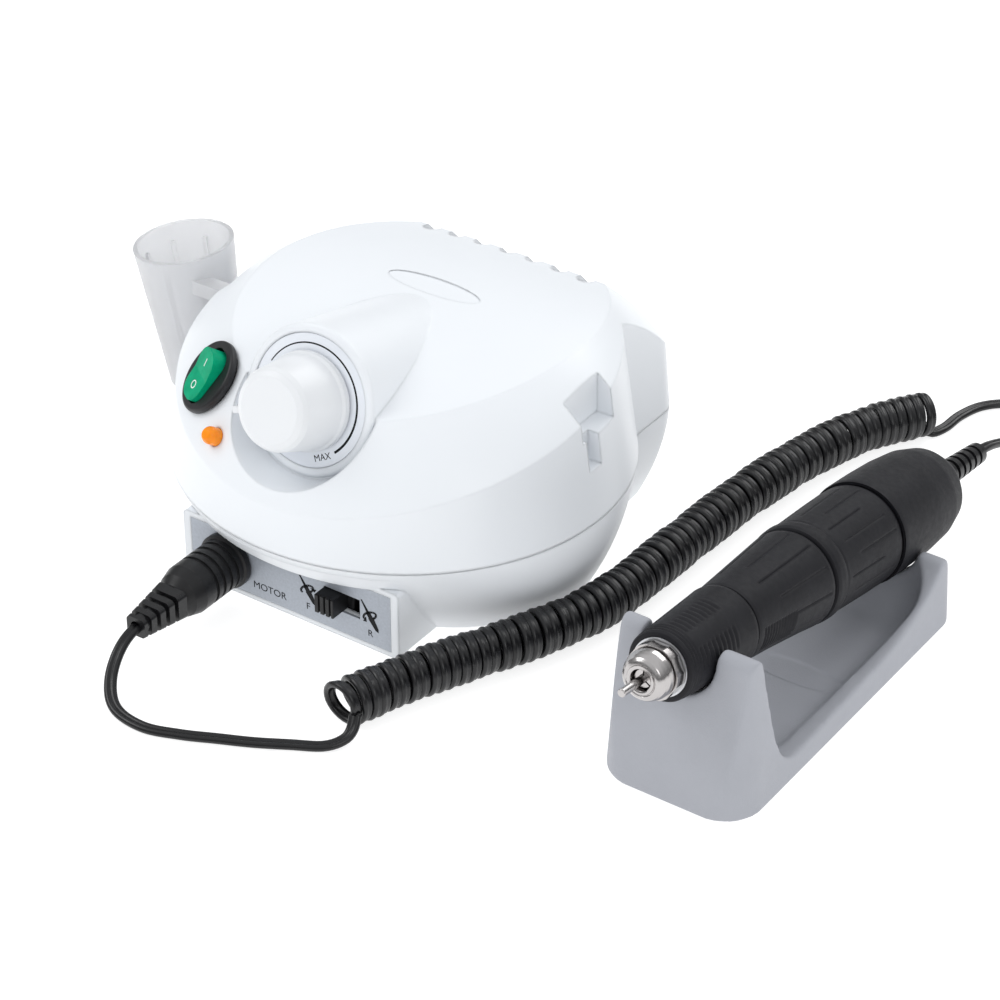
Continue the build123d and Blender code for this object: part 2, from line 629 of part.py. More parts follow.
def inner_screws():
    """Pan-head screws of the circuit board and of the transformer bracket."""
    screw = rod(SCREW_RADIUS, -2.4, 0.1) + rod(2.3, 0, 1.6)
    board_top = BOARD_Z + BOARD_THICK
    places = [Pos(x, y, board_top) for x, y in board_screw_places()]
    places += [Pos(side * BRACKET_SCREW_X, CORE_MIDDLE_Y, FLOOR_Z + BRACKET_THICK) for side in (-1, 1)]
    return together([place * screw for place in places])


def filter_capacitor():
    low = BOARD_Z + BOARD_THICK
    return Pos(24, -21, 0) * fillet(rod(6.5, low, low + 20).edges(), 0.8)


def heat_sink():
    low = BOARD_Z + BOARD_THICK
    sink = box((-16, 4), (-18, -16), (low, low + 18))
    for i in range(5):
        x = -16 + 4.6 * i
        sink += box((x, x + 1.6), (-16.5, -8), (low, low + 18))
    return sink


def transformer_core():
    core = box((-CORE_HALF_WIDTH, CORE_HALF_WIDTH), CORE_Y, (FLOOR_Z, CORE_TOP_Z))
    for side in (-1, 1):
        inner, outer = sorted((side * YOKE, side * 2 * YOKE))
        core -= box((inner, outer), (0, 50), (FLOOR_Z + YOKE, CORE_TOP_Z - YOKE))
    return core


def transformer_winding():
    low, high = FLOOR_Z + YOKE + 0.4, CORE_TOP_Z - YOKE - 0.4
    half = 2 * YOKE - 0.4
    winding = box((-half, half), (CORE_Y[0] - 5.5, CORE_Y[1] + 5.5), (low, high))
    winding = fillet(winding.edges().filter_by(Axis.Z), 3)
    return winding - box((-YOKE - 0.1, YOKE + 0.1), (CORE_Y[0] - 0.1, CORE_Y[1] + 0.1), (0, 60))


def transformer_bracket():
    inner, outer = CORE_HALF_WIDTH + 0.1, CORE_HALF_WIDTH + BRACKET_THICK
    strap_y = (CORE_Y[0] + 8, CORE_Y[1] - 8)
    strap = box((-outer, outer), strap_y, (FLOOR_Z, CORE_TOP_Z + BRACKET_THICK))
    strap -= box((-inner, inner), (0, 50), (0, CORE_TOP_Z + 0.1))
    for side in (-1, 1):
        low, high = sorted((side * inner, side * (outer + 9)))
        strap += box((low, high), strap_y, (FLOOR_Z, FLOOR_Z + BRACKET_THICK))
        strap -= Pos(side * BRACKET_SCREW_X, CORE_MIDDLE_Y, 0) * rod(SCREW_RADIUS, 0, 20)
    return strap


def mains_inlet():
    half = INLET_HALF_WIDTH
    body = box((-half, half), (REAR_BACK_Y - 18, REAR_BACK_Y + 0.5), INLET_Z)
    flange = box((-half - 2.2, half + 2.2), (REAR_BACK_Y, REAR_BACK_Y + 2),
                 (INLET_Z[0] - 1.4, INLET_Z[1] + 1.4))
    body += fillet(flange.edges().filter_by(Axis.Y), 2)
    body -= box((-9.6, 9.6), (REAR_BACK_Y - 14, REAR_BACK_Y + 5), (8.0, 19.8))
    drawer_room = box((-11.5, 11.5), (REAR_BACK_Y - 16.5, REAR_BACK_Y + 5),
                      (DRAWER_Z[0] - 0.1, DRAWER_Z[1] + 0.1))
    return body - drawer_room


def fuse_drawer():
    low, high = DRAWER_Z
    drawer = box((-11.4, 11.4), (REAR_BACK_Y - 16.4, REAR_BACK_Y + 3), (low, high))
    return drawer - box((-10.2, 10.2), (REAR_BACK_Y - 11.6, REAR_BACK_Y - 6), (low + 0.8, high + 1))


def fuse():
    fuse_shape = Rot(0, 90, 0) * rod(2.5, -10, 10)
    return Pos(0, REAR_BACK_Y - 8.8, (DRAWER_Z[0] + DRAWER_Z[1]) / 2 + 0.2) * fuse_shape


def pedal_jack():
    body = box((-6, 6), (-6, 6), (-22, -WALL - 0.1)) + rod(JACK_BUSH_RADIUS, -WALL - 1, 4.6)
    return JACK_PLANE * (body - rod(JACK_BORE, -20, 6))


# ---------------------------------------------------------------- handpiece

def nose_cap():
    return HAND_PLANE * turned([
        (3.05, -6.0), (4.9, -5.8), (6.1, -4.7), (6.8, -3.0), (7.1, -0.8), (6.3, -0.8), (6.3, 3.5),
        (5.5, 3.5), (5.5, -2.2), (3.05, -3.8),
    ])


def nose_nut():
    nut = extrude(RegularPolygon(8.5, 6), 3.6) & rod(7.75, -1, 5)
    nut = Pos(0, 0, -0.4) * nut - rod(6.35, -2, 5)
    return HAND_PLANE * nut


def front_housing():
    return HAND_PLANE * turned([
        (BEARING_OUTER, 3.4), (HOUSING_RADIUS, 3.4), (HOUSING_RADIUS, 41), (BEARING_OUTER, 41),
    ])


def front_grip():
    inner = HOUSING_RADIUS + 0.02
    return HAND_PLANE * turned([
        (inner, 3.6), (9.3, 3.6), (10.0, 4.4), (10.3, 6.0), (11.7, 30), (11.7, 33.4),
        (11.2, GRIP_END), (inner, GRIP_END),
    ])


def spindle():
    """Hollow spindle with the spring cage at its rear."""
    return HAND_PLANE * turned([
        (2.05, -0.4), (SPINDLE_RADIUS, -0.4), (SPINDLE_RADIUS, 43), (4.6, 43), (4.6, 56), (3.7, 56),
        (3.7, 44.6), (2.05, 44.6),
    ])


def collet():
    body = turned([
        (SHANK_RADIUS + 0.02, -4.6), (2.5, -4.6), (2.85, -4.0), (2.85, -2.4), (2.0, -1.4), (2.0, 22),
        (SHANK_RADIUS + 0.02, 22),
    ])
    for i in range(3):
        body -= Rot(0, 0, 30 + 120 * i) * box((0, 5), (-0.2, 0.2), (-6, 14))
    return HAND_PLANE * body


def bit_shank():
    shank = rod(SHANK_RADIUS, SHANK_TIP, 19)
    return HAND_PLANE * fillet(shank.edges().group_by(Axis.Z)[0], 0.3)


def drawbar():
    bar = rod(2.0, 22.1, 56.2) + rod(3.4, 56.2, 58.0) + rod(1.6, 57.5, 64)
    return HAND_PLANE * (bar + box((-0.7, 0.7), (-3, 3), (63.9, 67.5)))


def chuck_spring():
    low, pitch, turns = 45.4, 1.5, 6
    path = Pos(0, 0, low) * Helix(pitch=pitch, height=pitch * turns, radius=2.85)
    wire = Plane(origin=path @ 0, z_dir=path % 0) * Circle(0.4)
    return HAND_PLANE * sweep(wire, path=path, is_frenet=True)


def release_ring():
    return HAND_PLANE * tube(8.6, 2.4, 59.6, 62.0)


def middle_housing():
    return HAND_PLANE * turned([
        (8.25, 36), (9.25, 36), (9.25, 76), (8.75, 76), (8.75, 43), (8.25, 43),
    ])


def twist_sleeve():
    sleeve = turned([
        (9.35, TWIST_START), (11.0, TWIST_START), (11.4, TWIST_START + 1), (13.9, 66), (14.2, 69),
        (14.2, 70.8), (13.8, TWIST_END), (9.35, TWIST_END),
    ])
    return HAND_PLANE * sleeve


def motor_sleeve():
    return HAND_PLANE * turned([
        (9.35, MOTOR_START), (13.8, MOTOR_START), (14.5, MOTOR_START + 0.8), (14.6, 75.5), (14.3, 76.2),
        (15.2, 104), (15.3, 109.4), (14.9, MOTOR_END), (11.7, MOTOR_END), (11.7, 76.8), (9.35, 76.8),
    ])


def motor_shaft():
    """Motor shaft with the slotted coupling that drives the drawbar's blade."""
    fork = rod(4.2, 64.4, 74) - box((-0.8, 0.8), (-6, 6), (60, 69.2))
    return HAND_PLANE * (fork + rod(1.5, 73, 126))


def rotor():
    core = tube(8.6, 1.5, 84, 108)
    for i in range(5):
        core -= Rot(0, 0, 72 * i) * box((5.2, 7.4), (-1.6, 1.6), (80, 112))
        core -= Rot(0, 0, 72 * i) * box((7, 10), (-0.6, 0.6), (80, 112))
    return HAND_PLANE * core


def rotor_windings():
    ends = tube(7.2, 1.5, 82.2, 84) + tube(7.2, 1.5, 108, 110.6)
    coils = [ends.solids()[0], ends.solids()[1]]
    return together([HAND_PLANE * coil for coil in coils])


def commutator():
    return HAND_PLANE * tube(3.6, 1.5, 112, 118.4)


def motor_brushes():
    brush = box((3.65, 8.0), (-1.5, 1.5), (113.6, 117.2))
    return together([HAND_PLANE * Rot(0, 0, turn) * brush for turn in (0, 180)])


def motor_can():
    return HAND_PLANE * turned([
        (4.1, 77.0), (CAN_RADIUS, 77.0), (CAN_RADIUS, 124.0), (10.9, 124.0), (10.9, 78.4), (4.1, 78.4),
    ])


def motor_magnets():
    ring = tube(10.85, 9.0, 82, 110)
    gap = box((-20, 20), (-3, 3), (80, 112))
    return together([HAND_PLANE * arc for arc in (ring - gap).solids()])


def motor_end_cap():
    cap = tube(10.85, 4.05, 119.4, 124.0)
    for turn in (0, 180):
        holder = box((8.1, 10.6), (-2.2, 2.2), (112.6, 119.6))
        cap += Rot(0, 0, turn) * holder
    return HAND_PLANE * cap


def ball_bearings():
    """Two spindle bearings and two smaller motor bearings."""
    rings = [tube(BEARING_OUTER, SPINDLE_RADIUS + 0.02, low, low + BEARING_WIDTH) for low in (9.0, 29.0)]
    rings += [tube(4.0, 1.52, 77.2, 80.4), tube(4.0, 1.52, 119.8, 123.4)]
    return together([HAND_PLANE * ring for ring in rings])


def rear_cap():
    return HAND_PLANE * turned([
        (11.7, CAP_START), (15.0, CAP_START), (15.5, CAP_START + 1.2), (15.6, 122), (15.3, 134),
        (14.3, 143), (12.4, 149.5), (9.6, 154), (6.6, 156.4), (4.4, CAP_END), (4.4, 155), (9.0, 151.8),
        (11.2, 147.6), (12.6, 141.8), (13.4, 133), (13.6, 126), (11.7, 126),
    ])


def handpiece_boot():
    bore = CORD_RADIUS + 0.05
    boot = turned([
        (bore, 150), (6.0, 150), (6.0, 152), (4.2, 152.4), (4.2, 158), (3.3, BOOT_END), (bore, BOOT_END),
    ])
    for i in range(6):
        z = 160.5 + 3.8 * i
        boot -= tube(8, 2.9, z, z + 1.5) & box((-9, 9), (-9, 9), (z, z + 1.5))
    return HAND_PLANE * boot


def handpiece_lead():
    rest = CORD_RADIUS + 0.3
    x = HAND_ORIGIN[0]
    return cable([
        HAND_PLANE.from_local_coords((0, 0, 172)), HAND_PLANE.from_local_coords((0, 0, BOOT_END + 0.5)),
        (x + 0.4, 129, 11.4), (x + 3.0, 145, 6.0), (x + 3.6, 158, 2.8), (x - 3, 166.5, rest),
        (x - 14, 166, rest), (x - 22, 158, rest), (x - 26, 148, 3.4), (x - 28.2, 139.6, 6.0),
    ], CORD_RADIUS)


# ---------------------------------------------------------------- cradle and bit cup

def handpiece_room():
    """The handpiece's outside with clearance, opened upwards so that it can be lifted out."""
    profile = [(8.2, -8), (10.2, 4), (10.3, 6), (11.7, 30), (11.7, 36), (14.2, 70), (14.6, 78), (15.3, 110),
               (15.6, 122), (15.3, 134), (14.3, 143), (12.4, 149.5), (9.6, 154), (6.6, 158)]
    right = [(r + CRADLE_CLEAR, s) for r, s in profile]
    left = [(-r, s) for r, s in reversed(right)]
    lengthways = make_face(HAND_PLANE * Plane.XZ * Polyline(*right, *left, close=True))
    room = HAND_PLANE * turned([(0, -8), *right, (0, 158)])
    return room + extrude(lengthways, 60, dir=(0, 0, 1))


def cradle_block():
    """The cradle's outer block, leaning in towards the top, softer at the front corners."""
    x_middle = (CRADLE_X[0] + CRADLE_X[1]) / 2
    y_middle = (CRADLE_Y[0] + CRADLE_Y[1]) / 2
    wide = CRADLE_X[1] - CRADLE_X[0]
    long = CRADLE_Y[1] - CRADLE_Y[0]
    halves = []
    for corner, near_y, far_y in ((CRADLE_FRONT_CORNER, -90, 0), (CRADLE_REAR_CORNER, 0, 90)):
        foot = RectangleRounded(wide, long, corner)
        top = RectangleRounded(wide - 2 * CRADLE_LEAN, long, corner)
        whole = Pos(x_middle, y_middle, 0) * loft([foot, Pos(0, 0, CRADLE_HEIGHT) * top])
        halves.append(whole & box((0, 300), (near_y, far_y), (-1, CRADLE_HEIGHT + 1)))
    return halves[0] + halves[1]


def cradle_side():
    """Side view of the cradle: a tall front rest, a low rail and a shorter rear rest."""
    front, back = CRADLE_Y
    return Plane.YZ * make_face(
        Polyline((back, 0), (front, 0), (front + 7.6, 43.5))
        + ThreePointArc((front + 7.6, 43.5), (front + 10.8, 47.2), (front + 14.4, 44.0))
        + Spline((front + 14.4, 44.0), (front + 17.5, 28.0), (front + 22.0, 13.0), (front + 30.0, 7.4),
                 tangents=((0.12, -1), (1, 0.03)))
        + Spline((front + 30.0, 7.4), (0, 8.8), (28, 12.0), (46.0, 20.4), tangents=((1, 0.03), (1, 0.9)))
        + ThreePointArc((46.0, 20.4), (49.2, 22.0), (52.0, 19.6))
        + Line((52.0, 19.6), (back, 0))
    )


def cradle():
    x_middle = (CRADLE_X[0] + CRADLE_X[1]) / 2
    bowl = loft([
        Pos(x_middle, 0, z) * RectangleRounded(wide, long, corner)
        for z, wide, long, corner in BOWL_SECTIONS
    ])
    oval = Pos(*OVAL_XY, 0) * extrude(Ellipse(*OVAL_RADII), 12)
    oval &= Pos(0, 0, -OVAL_DEPTH) * bowl
    return (cradle_block() & extrude(cradle_side(), 300)) - bowl - oval - handpiece_room()


def bit_cup():
    outer = Pos(0, 0, -CUP_HEIGHT / 2) * Cone(CUP_FOOT_RADIUS, CUP_MOUTH_RADIUS, CUP_HEIGHT)
    depth = CUP_HEIGHT - 1.6
    inner = Pos(0, 0, -depth / 2) * Cone(CUP_FOOT_RADIUS - CUP_WALL, CUP_MOUTH_RADIUS - CUP_WALL, depth)
    ribs = Part()
    for i in range(CUP_RIBS):
        ribs += Rot(0, 0, 360 / CUP_RIBS * i) * box((8, 16), (-0.6, 0.6), (-CUP_HEIGHT, -5))
    inset = CUP_WALL + CUP_RIB_HEIGHT
    core = Pos(0, 0, -depth / 2) * Cone(CUP_FOOT_RADIUS - inset, CUP_MOUTH_RADIUS - inset, depth)
    cup = CUP_PLANE * (outer - inner + (ribs & outer - core))
    arm = box((-78, -60.4), (-2.6, 2.4), (57.8, 62.4)) + box((-66.2, -62.6), (-2.6, 2.4), (48.6, 59))
    return cup + (arm - CUP_PLANE * outer)


PIECES = (
    upper_shell, lower_shell, front_panel, feet, case_screws, scale_ring, speed_knob, potentiometer,
    potentiometer_nut, potentiometer_shaft, switch_housing, power_rocker, lamp_lens, direction_switch,
    direction_slider, motor_socket, plug_shell, plug_pins, plug_body, plug_boot, plug_lead, cord_coil,
    circuit_board, inner_screws, filter_capacitor, heat_sink, transformer_core, transformer_winding,
    transformer_bracket, mains_inlet, fuse_drawer, fuse, pedal_jack, nose_cap, nose_nut, front_housing,
    front_grip, ball_bearings, spindle, collet, bit_shank, drawbar, chuck_spring, release_ring,
    middle_housing, twist_sleeve, motor_sleeve, motor_shaft, rotor, rotor_windings, commutator,
    motor_brushes, motor_can, motor_magnets, motor_end_cap, rear_cap, handpiece_boot, handpiece_lead,
    cradle, bit_cup,
)


def main():
    os.makedirs("parts", exist_ok=True)
    for piece in PIECES:
        export_step(Pos(-SET_MIDDLE_X, -SET_MIDDLE_Y, 0) * piece(), f"parts/{piece.__name__}.step")


if __name__ == "__main__":
    main()
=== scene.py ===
import json
import math
import bpy
import bmesh
from mathutils import Matrix, Vector


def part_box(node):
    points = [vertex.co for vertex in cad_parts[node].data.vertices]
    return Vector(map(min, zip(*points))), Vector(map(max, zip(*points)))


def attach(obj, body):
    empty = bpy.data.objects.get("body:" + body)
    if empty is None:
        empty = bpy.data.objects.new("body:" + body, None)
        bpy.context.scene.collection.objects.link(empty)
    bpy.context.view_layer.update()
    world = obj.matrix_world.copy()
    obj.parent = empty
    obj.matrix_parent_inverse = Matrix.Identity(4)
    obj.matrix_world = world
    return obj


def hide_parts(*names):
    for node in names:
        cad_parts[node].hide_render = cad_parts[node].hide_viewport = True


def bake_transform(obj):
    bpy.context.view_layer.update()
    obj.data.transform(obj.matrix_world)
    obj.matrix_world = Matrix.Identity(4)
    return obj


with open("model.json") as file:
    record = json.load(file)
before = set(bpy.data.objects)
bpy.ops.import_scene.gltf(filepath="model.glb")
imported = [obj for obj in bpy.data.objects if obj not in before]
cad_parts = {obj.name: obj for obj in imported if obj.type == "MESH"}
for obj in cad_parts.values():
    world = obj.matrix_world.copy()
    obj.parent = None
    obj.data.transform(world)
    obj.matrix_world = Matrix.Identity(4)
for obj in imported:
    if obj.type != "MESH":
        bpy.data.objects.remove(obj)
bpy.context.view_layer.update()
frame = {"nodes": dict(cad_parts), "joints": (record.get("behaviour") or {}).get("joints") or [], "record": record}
NODES = frame["nodes"]
JOINTS = {j["name"]: j for j in frame["joints"]}
MM = 0.001
TAU = 2 * math.pi

# ---------------------------------------------------------------- places taken from the frame

PANEL_LOW, PANEL_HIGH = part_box("front_panel")
PANEL_FRONT_Y = PANEL_LOW.y
UNIT_X = (PANEL_LOW.x + PANEL_HIGH.x) / 2
UNIT_Y = PANEL_FRONT_Y + 55 * MM


def at(x, y, z):
    """A point given in millimetres from the middle of the control unit, in metres in the frame."""
    return Vector((UNIT_X + x * MM, UNIT_Y + y * MM, z * MM))


def basis(origin, z_axis, x_axis):
    """Matrix of a local frame: its Z along z_axis, its X as near x_axis as possible."""
    z = Vector(z_axis).normalized()
    y = z.cross(Vector(x_axis)).normalized()
    x = y.cross(z)
    m = Matrix((x, y, z)).transposed().to_4x4()
    m.translation = origin
    return m


def joint_basis(name, side, offset, x_axis):
    """Local frame on a joint's axis; offset is millimetres from the joint's point to the local origin."""
    joint = JOINTS[name]
    z = Vector(joint["axis"]).normalized() * side
    return basis(Vector(joint["pos_m"]) + z * offset * MM, z, x_axis)


DRIVE_POINT_BACK = 50.0
KNOB_POINT_HEIGHT = 5.0
HAND = joint_basis("drive_spin", 1, -DRIVE_POINT_BACK, (1, 0, 0))
KNOB = joint_basis("knob_turn", -1, -KNOB_POINT_HEIGHT, (1, 0, 0))
SWITCH_NORMAL = (-0.44, -0.62, 0.65)
SWITCH_SIDE = -Vector(JOINTS["rocker_tilt"]["axis"])
SWITCH = basis(Vector(JOINTS["rocker_tilt"]["pos_m"]), SWITCH_NORMAL, SWITCH_SIDE)
PANEL = basis(Vector((UNIT_X, PANEL_FRONT_Y, 0)), (0, -1, 0), (1, 0, 0))


# ---------------------------------------------------------------- materials

def node(tree, kind, **values):
    n = tree.nodes.new(kind)
    for key, value in values.items():
        if key in n.inputs:
            n.inputs[key].default_value = value
        else:
            setattr(n, key, value)
    return n


def noise(tree, coords, scale, detail=3.0, rough=0.55):
    n = node(tree, "ShaderNodeTexNoise", Scale=scale, Detail=detail, Roughness=rough)
    tree.links.new(coords, n.inputs["Vector"])
    return n.outputs["Fac"]


def spread(tree, fac, low, high):
    n = tree.nodes.new("ShaderNodeMapRange")
    n.inputs["From Min"].default_value = 0.3
    n.inputs["From Max"].default_value = 0.7
    n.inputs["To Min"].default_value = low
    n.inputs["To Max"].default_value = high
    tree.links.new(fac, n.inputs["Value"])
    return n.outputs["Result"]


def finish_material(name, color, rough, vary=0.04, rough_vary=0.06, grain=1600, bump=0.12, metal=0.0,
                    stretch=(1, 1, 1), edge=0.35, coat=0.0, transmission=0.0, ior=1.5, subsurface=0.0,
                    glow=0.0, smudge=55, specular=0.5):
    """Principled material: broad colour drift, smudges in the roughness, fine moulded or brushed grain."""
    mat = bpy.data.materials.new(name)
    mat.use_nodes = True
    tree = mat.node_tree
    bsdf = tree.nodes["Principled BSDF"]
    coords = tree.nodes.new("ShaderNodeTexCoord").outputs["Object"]
    mapping = node(tree, "ShaderNodeMapping", Scale=stretch)
    tree.links.new(coords, mapping.inputs["Vector"])
    grained = mapping.outputs["Vector"]

    drift = noise(tree, coords, smudge)
    ramp = tree.nodes.new("ShaderNodeValToRGB")
    dark = [c * (1 - vary) for c in color]
    light = [min(1.0, c * (1 + vary) + vary * 0.02) for c in color]
    ramp.color_ramp.elements[0].position = 0.3
    ramp.color_ramp.elements[0].color = (*dark, 1)
    ramp.color_ramp.elements[1].position = 0.7
    ramp.color_ramp.elements[1].color = (*light, 1)
    tree.links.new(drift, ramp.inputs["Fac"])
    tree.links.new(ramp.outputs["Color"], bsdf.inputs["Base Color"])

    marks = noise(tree, grained, smudge * 5, detail=5.0)
    low = max(0.02, rough - rough_vary)
    tree.links.new(spread(tree, marks, low, rough + rough_vary), bsdf.inputs["Roughness"])

    bump_node = node(tree, "ShaderNodeBump", Strength=bump, Distance=0.00012)
    tree.links.new(noise(tree, grained, grain, detail=2.0), bump_node.inputs["Height"])
    if edge:
        rounded = node(tree, "ShaderNodeBevel", Radius=edge * MM, samples=4)
        tree.links.new(rounded.outputs["Normal"], bump_node.inputs["Normal"])
    tree.links.new(bump_node.outputs["Normal"], bsdf.inputs["Normal"])

    bsdf.inputs["Metallic"].default_value = metal
    bsdf.inputs["IOR"].default_value = ior
    bsdf.inputs["Coat Weight"].default_value = coat
    bsdf.inputs["Coat Roughness"].default_value = 0.12
    bsdf.inputs["Transmission Weight"].default_value = transmission
    bsdf.inputs["Subsurface Weight"].default_value = subsurface
    bsdf.inputs["Subsurface Scale"].default_value = 0.004
    bsdf.inputs["Specular IOR Level"].default_value = specular
    if glow:
        bsdf.inputs["Emission Color"].default_value = (*color, 1)
        bsdf.inputs["Emission Strength"].default_value = glow
    return mat


CASING = finish_material("casing_white", (0.80, 0.825, 0.855), 0.34, vary=0.006, rough_vary=0.025,
                         bump=0.04, edge=1.3, smudge=30)
KNOB_WHITE = finish_material("knob_white", (0.765, 0.78, 0.80), 0.36, vary=0.006, rough_vary=0.02,
                             bump=0.04, edge=0.5)
RING = finish_material("scale_ring_silver", (0.82, 0.85, 0.90), 0.40, vary=0.012, rough_vary=0.03,
                       grain=2600, bump=0.06, edge=0.2, metal=0.15)
PANEL_GREY = finish_material("panel_silver", (0.40, 0.43, 0.48), 0.42, vary=0.07, rough_vary=0.06,
                             grain=3200, bump=0.20, edge=0.15, metal=0.30, smudge=1400)
BLACK = finish_material("black_plastic", (0.005, 0.005, 0.006), 0.40, vary=0.2, bump=0.12, edge=0.3,
                        specular=0.35)
BLACK_GLOSS = finish_material("black_satin", (0.006, 0.006, 0.008), 0.42, vary=0.15, bump=0.10, edge=0.3,
                              grain=2600, specular=0.45)
CORD = finish_material("cord_rubber", (0.003, 0.003, 0.004), 0.30, vary=0.25, rough_vary=0.05, grain=900,
                       bump=0.05, edge=0, specular=0.45)
GRIP = finish_material("grip_charcoal", (0.007, 0.007, 0.010), 0.60, vary=0.10, rough_vary=0.05, grain=3800,
                       bump=0.35, edge=0.0, smudge=120, specular=0.30)
GREEN = finish_material("rocker_green", (0.0, 0.31, 0.155), 0.40, vary=0.12, bump=0.02, edge=0.4,
                        subsurface=0.2, glow=0.05, smudge=260, specular=0.05)
ORANGE = finish_material("lamp_orange", (0.84, 0.25, 0.008), 0.20, vary=0.08, bump=0.02, edge=0.2, coat=0.1,
                         subsurface=0.3, glow=0.06, smudge=500, specular=0.25)
STEEL = finish_material("polished_steel", (0.50, 0.48, 0.475), 0.20, vary=0.04, rough_vary=0.05, grain=2600,
                        bump=0.08, metal=1.0, edge=0.15, stretch=(1, 0.12, 1))
DARK_STEEL = finish_material("dark_steel", (0.30, 0.31, 0.33), 0.36, vary=0.08, metal=0.9, edge=0.2)
COPPER = finish_material("copper", (0.62, 0.27, 0.12), 0.34, vary=0.12, metal=0.9, edge=0.1, grain=2400)
BOARD = finish_material("board_green", (0.02, 0.12, 0.05), 0.4, vary=0.2, edge=0.1, smudge=400)
ALUMINIUM = finish_material("aluminium", (0.62, 0.63, 0.65), 0.3, vary=0.05, metal=0.95, edge=0.2)
MAGNET = finish_material("magnet", (0.06, 0.06, 0.065), 0.6, vary=0.15, edge=0.2)
STAND = finish_material("stand_grey", (0.36, 0.37, 0.405), 0.58, vary=0.02, rough_vary=0.05, grain=2400,
                        bump=0.50, edge=0, smudge=90, specular=0.4)
CUP_CLEAR = finish_material("cup_frosted", (0.86, 0.865, 0.88), 0.33, vary=0.006, rough_vary=0.02,
                            grain=900, bump=0.04, edge=0.3, transmission=0.62, ior=1.28)
GLASS = finish_material("fuse_glass", (0.9, 0.95, 0.95), 0.05, vary=0.01, transmission=0.9, edge=0)
INK = finish_material("printed_ink", (0.012, 0.012, 0.014), 0.5, vary=0.15, edge=0, bump=0.02, specular=0.1)
WHITE_INK = finish_material("white_ink", (0.78, 0.86, 0.82), 0.4, vary=0.02, edge=0, bump=0.02)

SLOT_LOOK = {
    "casing": CASING, "panel_grey": PANEL_GREY, "ring_silver": RING, "black_plastic": BLACK,
    "black_gloss": BLACK_GLOSS, "green_lens": GREEN, "orange_lens": ORANGE, "steel": STEEL,
    "dark_steel": DARK_STEEL, "copper": COPPER, "board_green": BOARD, "aluminium": ALUMINIUM,
    "rubber": CORD, "charcoal": GRIP, "ceramic_magnet": MAGNET, "glass": GLASS, "stand_grey": STAND,
    "clear_cup": CUP_CLEAR,
}
NODE_LOOK = {"speed_knob": KNOB_WHITE}


def smooth_shaded(obj, degrees):
    obj.data.shade_smooth()
    obj.data.set_sharp_from_angle(angle=math.radians(degrees))


for part in frame["record"]["subparts"]:
    name = part["node"]
    obj = NODES[name]
    look = NODE_LOOK.get(name, SLOT_LOOK[part["material_slot"]])
    obj.data.materials.clear()
    obj.data.materials.append(look)


# ---------------------------------------------------------------- mesh tools

def new_piece(name, mesh, look, body, slot_name, *nodes):
    """Puts a finished mesh in the scene, riding on a body; body None leaves it for a blend."""
    obj = bpy.data.objects.new(name, mesh)
    bpy.context.scene.collection.objects.link(obj)
    mesh.materials.append(look)
    if body:
        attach(obj, body)
    if nodes:
        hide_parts(*nodes)
    return obj


def mesh_from(name, verts, faces):
    mesh = bpy.data.meshes.new(name)
    mesh.from_pydata([tuple(v) for v in verts], [], faces)
    bm = bmesh.new()
    bm.from_mesh(mesh)
    bmesh.ops.remove_doubles(bm, verts=bm.verts, dist=1e-7)
    bmesh.ops.recalc_face_normals(bm, faces=bm.faces)
    bm.to_mesh(mesh)
    bm.free()
    return mesh


def resample(profile, step):
    """Points along a (radius, height) profile no further apart than step, corners kept."""
    points = [profile[0]]
    for (r0, s0), (r1, s1) in zip(profile, profile[1:]):
        count = max(1, math.ceil(math.hypot(r1 - r0, s1 - s0) / step))
        points += [(r0 + (r1 - r0) * i / count, s0 + (s1 - s0) * i / count) for i in range(1, count + 1)]
    return points


def lathe(name, frame_matrix, outer, inner, relief, around, step):
    """Hollow turned mesh. relief(s, theta) in millimetres is added to the outer radius."""
    rings = [(r, s, True) for r, s in resample(outer, step)]
    rings += [(r, s, False) for r, s in reversed(inner)]
    verts = []
    for r, s, shown in rings:
        for k in range(around):
            theta = TAU * k / around
            radius = r + (relief(s, theta) if shown and relief else 0.0)
            local = Vector((radius * math.cos(theta), radius * math.sin(theta), s)) * MM
            verts.append(frame_matrix @ local)
    faces = []
    total = len(rings)
    for i in range(total):
        j = (i + 1) % total
        for k in range(around):
            m = (k + 1) % around
            faces.append((i * around + k, i * around + m, j * around + m, j * around + k))
    return mesh_from(name, verts, faces)


def smooth_path(points, step):
    """Catmull-Rom curve through points, in metres, sampled about every step metres."""
    ends = [points[0] * 2 - points[1], *points, points[-1] * 2 - points[-2]]
    path = []
    for a, b, c, d in zip(ends, ends[1:], ends[2:], ends[3:]):
        count = max(2, math.ceil((c - b).length / step))
        for i in range(count):
            t = i / count
            path.append(0.5 * (2 * b + (c - a) * t + (2 * a - 5 * b + 4 * c - d) * t ** 2
                               + (3 * b - a - 3 * c + d) * t ** 3))
    path.append(points[-1].copy())
    return path


def sweep(name, path, sides, section):
    """Closed tube: section is (across, up) in metres; sides gives each path point's across direction."""
    verts, faces, n = [], [], len(section)
    for i, p in enumerate(path):
        tangent = (path[min(i + 1, len(path) - 1)] - path[max(i - 1, 0)]).normalized()
        across = (sides[i] - tangent * sides[i].dot(tangent)).normalized()
        up = tangent.cross(across)
        verts += [p + across * a + up * b for a, b in section]
    for i in range(len(path) - 1):
        for k in range(n):
            m = (k + 1) % n
            faces.append((i * n + k, i * n + m, (i + 1) * n + m, (i + 1) * n + k))
    faces.append(tuple(range(n)))
    faces.append(tuple((len(path) - 1) * n + k for k in range(n)))
    return mesh_from(name, verts, faces)


